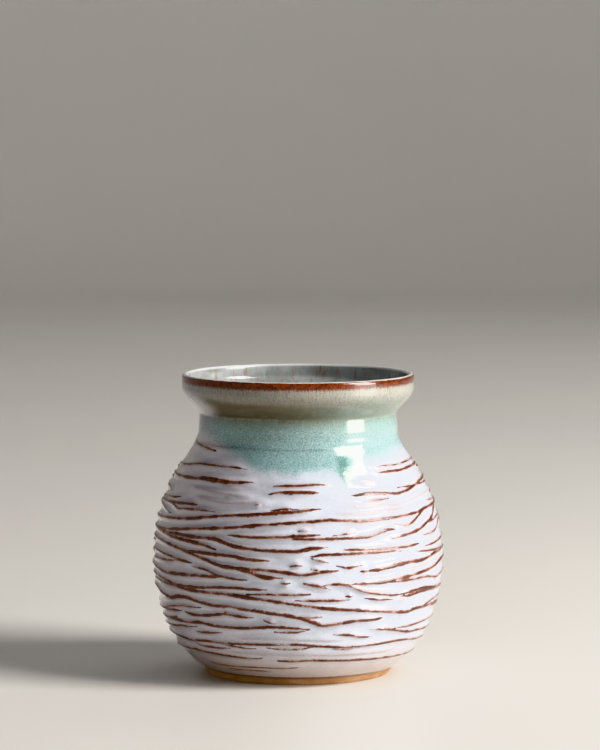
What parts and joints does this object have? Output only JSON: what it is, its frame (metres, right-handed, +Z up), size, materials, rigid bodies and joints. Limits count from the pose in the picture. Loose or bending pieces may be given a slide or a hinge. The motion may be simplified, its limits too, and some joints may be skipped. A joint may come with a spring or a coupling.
{
  "type": "stoneware vase",
  "caption": "Round-bellied stoneware vase with a short neck and a flared collar, carved ridges under white glaze, celadon above, and a bare foot ring. Holds water and cut or dried stems.",
  "frame": {"origin": "centre of the circle that the foot ring stands on, at table height", "axes": "+Z up along the vase's axis of revolution, +Y away from the viewer of the glaze drip, +X to the right"},
  "size_m": [0.1464, 0.1464, 0.15],
  "materials": {
    "stoneware_clay": "bare fired stoneware, matt and finely gritty",
    "liner_glaze": "glossy pale blue-grey glaze with brown vertical streaks",
    "white_glaze": "glossy opaque white glaze that breaks to iron brown along the ridge crests",
    "celadon_glaze": "glossy mottled grey-green celadon, paler on the collar",
    "iron_glaze": "glossy orange-brown iron glaze, speckled towards its lower edge"
  },
  "bodies": {
    "root": {"clay_body": "stoneware_clay", "liner_glaze": "liner_glaze", "white_glaze": "white_glaze", "celadon_glaze": "celadon_glaze", "lip_glaze": "iron_glaze"}
  },
  "joints": []
}
